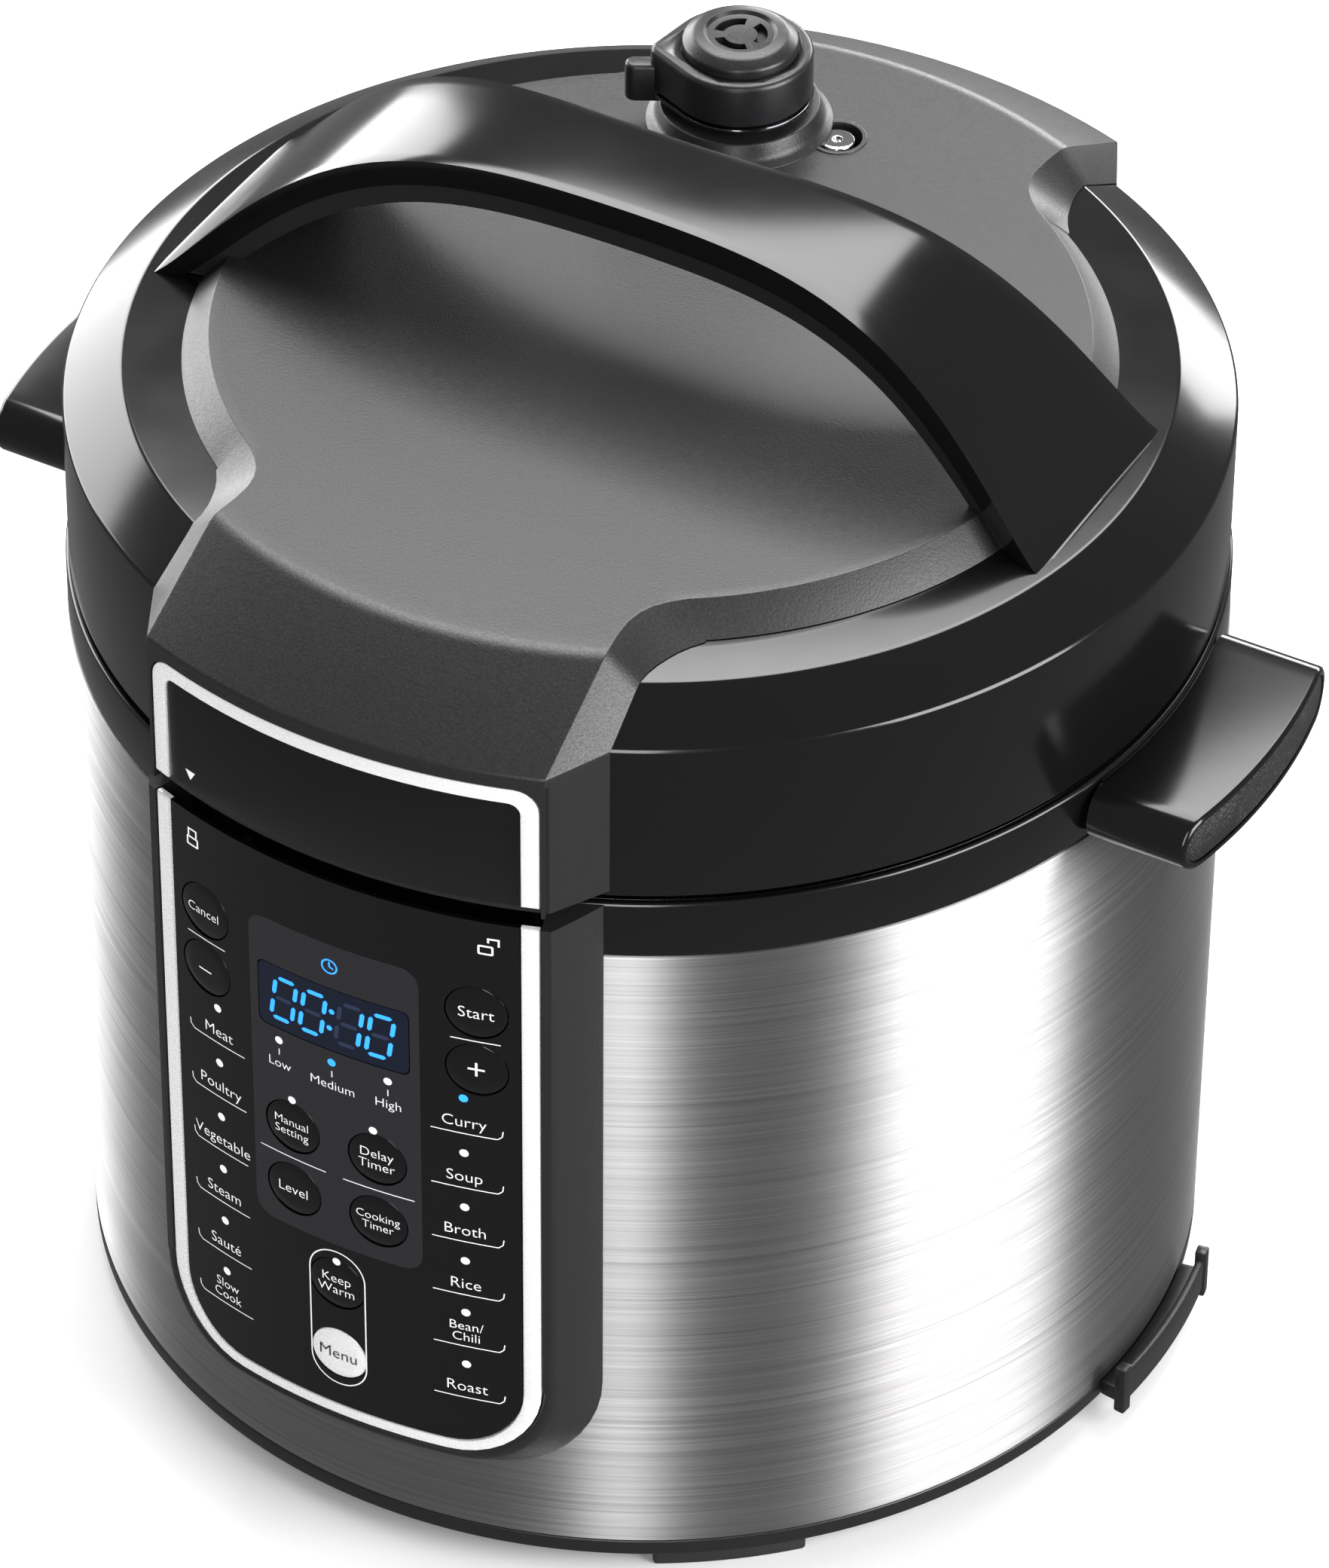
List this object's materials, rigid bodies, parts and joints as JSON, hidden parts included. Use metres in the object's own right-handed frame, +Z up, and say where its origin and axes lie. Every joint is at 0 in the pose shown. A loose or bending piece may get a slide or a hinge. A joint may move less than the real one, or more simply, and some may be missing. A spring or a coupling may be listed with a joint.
{
  "type": "electric pressure cooker",
  "caption": "Round electric pressure cooker: brushed steel body, black control panel with keys, turning lid with bridge handle, steam release knob, float pin and side handles.",
  "frame": {"origin": "middle of the footprint, on the plane that the feet stand on", "axes": "+Z up; the control panel faces -Y; the two side handles lie along X"},
  "size_m": [0.3332, 0.302, 0.3179],
  "materials": {
    "body_steel": "brushed",
    "gloss_black": "gloss",
    "matte_black": "fine texture",
    "satin_black": "satin",
    "trim_chrome": "polished",
    "plain_steel": "satin",
    "cast_aluminium": "satin",
    "foot_rubber": "matte",
    "silicone": "matte",
    "non_stick": "satin",
    "circuit_board": "satin",
    "display_glass": "gloss",
    "clear_cup": "clear"
  },
  "bodies": {
    "base": {"base_tray": "satin_black", "foot_1": "foot_rubber", "foot_2": "foot_rubber", "foot_3": "foot_rubber", "foot_4": "foot_rubber", "outer_shell": "body_steel", "collar": "gloss_black", "side_handle_left": "gloss_black", "side_handle_right": "gloss_black", "grip_insert_left": "matte_black", "grip_insert_right": "matte_black", "cord_bracket": "satin_black", "cup_bracket": "satin_black", "power_inlet": "satin_black", "outer_pot": "plain_steel", "support_post_1": "satin_black", "support_post_2": "satin_black", "support_post_3": "satin_black", "heating_plate": "cast_aluminium", "sensor_bracket": "plain_steel", "sensor_spring": "plain_steel", "pressure_switch": "satin_black", "power_board": "circuit_board", "panel_bezel": "matte_black", "panel_trim": "trim_chrome", "panel_face": "gloss_black", "display_window": "display_glass", "display_module": "satin_black", "control_board": "circuit_board"},
    "key_cancel": {"key_cancel": "gloss_black"},
    "key_minus": {"key_minus": "gloss_black"},
    "key_start": {"key_start": "gloss_black"},
    "key_plus": {"key_plus": "gloss_black"},
    "key_manual": {"key_manual": "gloss_black"},
    "key_delay": {"key_delay": "gloss_black"},
    "key_level": {"key_level": "gloss_black"},
    "key_timer": {"key_timer": "gloss_black"},
    "key_warm": {"key_warm": "gloss_black"},
    "key_menu": {"key_menu": "trim_chrome"},
    "sensor": {"sensor_cap": "cast_aluminium"},
    "pot": {"inner_pot": "non_stick"},
    "cup": {"condensation_cup": "clear_cup"},
    "seal": {"seal_ring": "silicone"},
    "lid": {"lid_skirt": "gloss_black", "inner_lid": "plain_steel", "lid_cover": "matte_black", "lid_front_trim": "trim_chrome", "lid_front_plate": "gloss_black", "lid_handle_top": "gloss_black", "lid_handle_grip": "matte_black", "handle_screw_left": "plain_steel", "handle_screw_right": "plain_steel", "seal_rack": "plain_steel", "steam_pipe": "plain_steel", "anti_block_shield": "plain_steel", "float_guide": "satin_black"},
    "knob": {"valve_knob": "satin_black", "valve_cap": "satin_black"},
    "float": {"float_pin": "trim_chrome", "float_gasket": "silicone"}
  },
  "joints": [
    {"name": "key_cancel_press", "type": "slide", "parent": "base", "child": "key_cancel", "axis": [0.2402, 0.9707, 0], "range_m": [0, 0.0008], "stiffness_N_per_m": 300},
    {"name": "key_minus_press", "type": "slide", "parent": "base", "child": "key_minus", "axis": [0.2402, 0.9707, 0], "range_m": [0, 0.0008], "stiffness_N_per_m": 300},
    {"name": "key_start_press", "type": "slide", "parent": "base", "child": "key_start", "axis": [-0.2402, 0.9707, 0], "range_m": [0, 0.0008], "stiffness_N_per_m": 300},
    {"name": "key_plus_press", "type": "slide", "parent": "base", "child": "key_plus", "axis": [-0.2402, 0.9707, 0], "range_m": [0, 0.0008], "stiffness_N_per_m": 300},
    {"name": "key_manual_press", "type": "slide", "parent": "base", "child": "key_manual", "axis": [0.075, 0.9972, 0], "range_m": [0, 0.0008], "stiffness_N_per_m": 300},
    {"name": "key_delay_press", "type": "slide", "parent": "base", "child": "key_delay", "axis": [-0.075, 0.9972, 0], "range_m": [0, 0.0008], "stiffness_N_per_m": 300},
    {"name": "key_level_press", "type": "slide", "parent": "base", "child": "key_level", "axis": [0.075, 0.9972, 0], "range_m": [0, 0.0008], "stiffness_N_per_m": 300},
    {"name": "key_timer_press", "type": "slide", "parent": "base", "child": "key_timer", "axis": [-0.075, 0.9972, 0], "range_m": [0, 0.0008], "stiffness_N_per_m": 300},
    {"name": "key_warm_press", "type": "slide", "parent": "base", "child": "key_warm", "axis": [0, 1, 0], "range_m": [0, 0.0008], "stiffness_N_per_m": 300},
    {"name": "key_menu_press", "type": "slide", "parent": "base", "child": "key_menu", "axis": [0, 1, 0], "range_m": [0, 0.0008], "stiffness_N_per_m": 300},
    {"name": "sensor_press", "type": "slide", "parent": "base", "child": "sensor", "axis": [0, 0, 1], "range_m": [-0.0025, 0], "stiffness_N_per_m": 600, "deforming": ["sensor_spring"]},
    {"name": "lid_lift", "type": "slide", "parent": "base", "child": "seal", "axis": [0, 0, 1], "range_m": [0, 0.33]},
    {"name": "lid_turn", "type": "hinge", "parent": "seal", "child": "lid", "pos_m": [0, 0, 0.24], "axis": [0, 0, 1], "range_deg": [0, 30]},
    {"name": "pot_lift", "type": "slide", "parent": "base", "child": "pot", "axis": [0, 0, 1], "range_m": [0, 0.165]},
    {"name": "knob_turn", "type": "hinge", "parent": "lid", "child": "knob", "pos_m": [-0.0226, 0.0846, 0.285], "axis": [0, 0, 1], "range_deg": [0, 45]},
    {"name": "float_rise", "type": "slide", "parent": "lid", "child": "float", "axis": [0, 0, 1], "range_m": [0, 0.005]},
    {"name": "cup_slide", "type": "slide", "parent": "base", "child": "cup", "axis": [0, 1, 0], "range_m": [0, 0.03]}
  ],
  "couplings": [
    {"joint": "pot_lift", "follows": "lid_lift", "ratio": 0.5}
  ]
}
